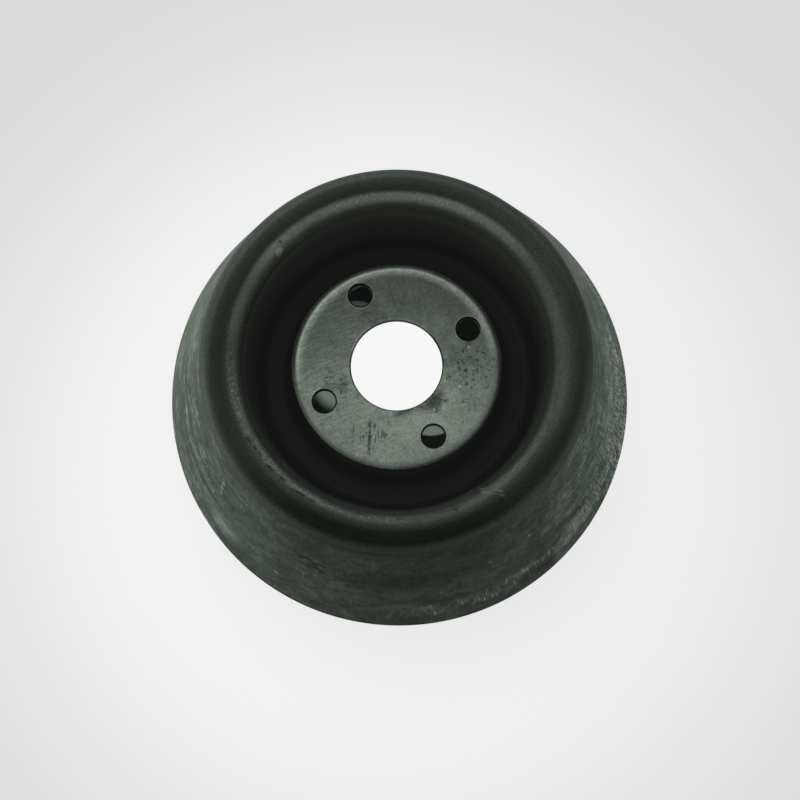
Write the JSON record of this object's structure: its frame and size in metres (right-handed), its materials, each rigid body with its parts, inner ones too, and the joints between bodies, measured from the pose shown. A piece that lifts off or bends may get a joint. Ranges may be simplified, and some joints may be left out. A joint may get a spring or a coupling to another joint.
{
  "type": "mixed-flow fan hub",
  "caption": "Hub of a mixed-flow fan impeller: a spun steel bell, a cone outside and a deep ring groove inside, with a bored boss in its middle that takes the shaft's bolts.",
  "frame": {"origin": "centre of the large rim, on the floor that the rim stands on", "axes": "+Z along the hub's axis from the large end to the small end, +X to the right and +Y up in the picture"},
  "size_m": [0.4, 0.4, 0.165],
  "materials": {
    "blackened_steel": "dark oxidised and oiled sheet steel, satin, with scuffs along the crest and drag marks near the rim"
  },
  "bodies": {
    "root": {"hub_shell": "blackened_steel"}
  },
  "joints": []
}
